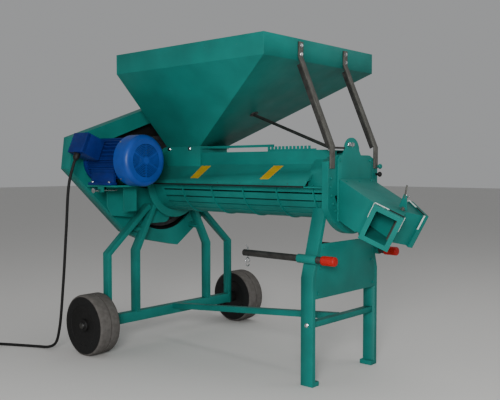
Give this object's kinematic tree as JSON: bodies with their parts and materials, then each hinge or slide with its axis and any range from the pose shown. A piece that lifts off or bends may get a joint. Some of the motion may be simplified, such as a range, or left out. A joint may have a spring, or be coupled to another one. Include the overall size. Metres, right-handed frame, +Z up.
{
  "type": "almond huller",
  "caption": "Wheeled almond huller: square hopper over a slatted drum with a belt-driven beater rotor, an electric motor, and a forked outlet chute with a diverter flap",
  "frame": {"origin": "on the floor, under the middle of the machine without its cord", "axes": "+X along the drum towards the outlet chute, +Y away from the motor across the machine, +Z up"},
  "size_m": [2.4891, 1.7618, 1.655],
  "materials": {
    "green_paint": "gloss green enamel over sheet and bar steel",
    "bare_steel": "bare rolled steel",
    "dark_steel": "dark rolled steel",
    "bright_steel": "turned and zinc-plated steel",
    "cast_iron": "machined grey iron",
    "motor_blue": "blue enamel on a finned casting",
    "fan_blue": "brighter blue enamel on pressed sheet",
    "tyre_rubber": "solid grey rubber",
    "black_plastic": "black moulded plastic",
    "black_rubber": "black rubber",
    "red_grip": "red moulded plastic"
  },
  "bodies": {
    "frame": {"hopper": "green_paint", "hopper_neck": "green_paint", "gate_rack": "green_paint", "drum_cover": "green_paint", "drum_cage": "green_paint", "left_end_plate": "green_paint", "end_collar": "green_paint", "arched_end_plate": "green_paint", "left_bearing": "cast_iron", "right_bearing": "cast_iron", "v_belt_1": "black_rubber", "v_belt_2": "black_rubber", "belt_guard": "green_paint", "guard_back_plate": "green_paint", "motor_body": "motor_blue", "motor_fan_cover": "fan_blue", "terminal_box": "motor_blue", "cable_gland": "black_plastic", "motor_bracket": "green_paint", "tension_bolt": "bright_steel", "axle_beam": "green_paint", "wheel_axle": "dark_steel", "tie_bar": "green_paint", "right_crossbar": "green_paint", "leg_panel": "green_paint", "chute_body": "green_paint", "hopper_brace": "dark_steel", "left_leg_inner_near": "green_paint", "left_leg_outer_near": "green_paint", "right_leg_near": "green_paint", "hopper_stay_near": "bare_steel", "spout_collar_near": "green_paint", "left_leg_inner_far": "green_paint", "left_leg_outer_far": "green_paint", "right_leg_far": "green_paint", "hopper_stay_far": "bare_steel", "spout_collar_far": "green_paint", "power_cord": "black_rubber", "cord_coil": "black_rubber", "power_plug": "black_plastic"},
    "rotor": {"rotor_shaft": "bright_steel", "beater_rotor": "dark_steel", "drum_pulley": "cast_iron"},
    "motor_rotor": {"motor_shaft": "bright_steel", "motor_pulley": "cast_iron", "motor_fan": "dark_steel"},
    "wheel_near": {"wheel_tyre_near": "tyre_rubber", "wheel_disc_near": "black_plastic"},
    "wheel_far": {"wheel_tyre_far": "tyre_rubber", "wheel_disc_far": "black_plastic"},
    "feed_gate": {"feed_gate": "bare_steel"},
    "handle_near": {"handle_tube_near": "dark_steel", "handle_grip_near": "red_grip", "handle_pin_near": "bright_steel"},
    "handle_far": {"handle_tube_far": "dark_steel", "handle_grip_far": "red_grip", "handle_pin_far": "bright_steel"},
    "diverter": {"diverter_flap": "bare_steel"}
  },
  "joints": [
    {"name": "rotor_spin", "type": "hinge", "parent": "frame", "child": "rotor", "pos_m": [0.47248, 0.03289, 0.95], "axis": [1, 0, 0], "continuous": true},
    {"name": "motor_spin", "type": "hinge", "parent": "frame", "child": "motor_rotor", "pos_m": [-0.52752, -0.44711, 1.071], "axis": [1, 0, 0], "continuous": true},
    {"name": "wheel_near_roll", "type": "hinge", "parent": "frame", "child": "wheel_near", "pos_m": [-0.75632, -0.56711, 0.168], "axis": [0, 1, 0], "continuous": true},
    {"name": "wheel_far_roll", "type": "hinge", "parent": "frame", "child": "wheel_far", "pos_m": [-0.75632, 0.63289, 0.168], "axis": [0, 1, 0], "continuous": true},
    {"name": "gate_slide", "type": "slide", "parent": "frame", "child": "feed_gate", "axis": [1, 0, 0], "range_m": [0, 0.22]},
    {"name": "handle_near_slide", "type": "slide", "parent": "frame", "child": "handle_near", "axis": [1, 0, 0], "range_m": [0, 0.31]},
    {"name": "handle_far_slide", "type": "slide", "parent": "frame", "child": "handle_far", "axis": [1, 0, 0], "range_m": [0, 0.31]},
    {"name": "diverter_swing", "type": "hinge", "parent": "frame", "child": "diverter", "pos_m": [0.83093, 0.03289, 0.83774], "axis": [0.4802, 0, 0.8771], "range_deg": [-46, 46]}
  ],
  "couplings": [
    {"joint": "motor_spin", "follows": "rotor_spin", "ratio": 4.3}
  ]
}
